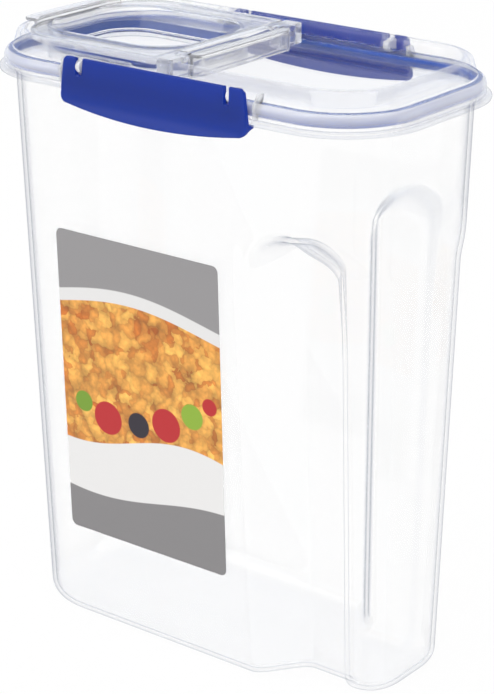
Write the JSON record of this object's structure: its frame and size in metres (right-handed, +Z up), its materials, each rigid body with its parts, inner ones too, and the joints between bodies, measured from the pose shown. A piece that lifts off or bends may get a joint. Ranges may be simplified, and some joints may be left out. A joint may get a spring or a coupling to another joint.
{
  "type": "flip-spout dry food container",
  "caption": "Tall clear box for dry food with a grip neck, a lid on a rim lip, side clips that hook under the lip, and a flip cover over the pour opening.",
  "frame": {"origin": "centre of the footprint on the ground, under the body's base", "axes": "+Z up, +X along the long side towards the grip neck, +Y towards the back clip"},
  "size_m": [0.217, 0.1248, 0.2784],
  "materials": {
    "clear_body": "clear polypropylene, slightly milky, smooth and glossy",
    "clear_lid": "clear polypropylene, smooth and glossy",
    "clip": "dark blue polypropylene, satin",
    "seal": "blue silicone, smooth and matt",
    "label": "thin in-mould film with a printed matt face"
  },
  "bodies": {
    "body": {"body": "clear_body", "label": "label"},
    "lid": {"lid": "clear_lid", "lid_seal": "seal"},
    "clip_front": {"clip_front": "clip"},
    "clip_back": {"clip_back": "clip"},
    "flap": {"flap": "clear_lid", "flap_seal": "seal"}
  },
  "joints": [
    {"name": "lid_lift", "type": "slide", "parent": "body", "child": "lid", "axis": [0, 0, 1], "range_m": [0, 0.06]},
    {"name": "clip_front_turn", "type": "hinge", "parent": "lid", "child": "clip_front", "pos_m": [0, -0.0574, 0.2702], "axis": [-1, 0, 0], "range_deg": [0, 110]},
    {"name": "clip_back_turn", "type": "hinge", "parent": "lid", "child": "clip_back", "pos_m": [0, 0.0574, 0.2702], "axis": [1, 0, 0], "range_deg": [0, 110]},
    {"name": "flap_turn", "type": "hinge", "parent": "lid", "child": "flap", "pos_m": [-0.0055, 0, 0.2738], "axis": [0, 1, 0], "range_deg": [0, 110]}
  ]
}
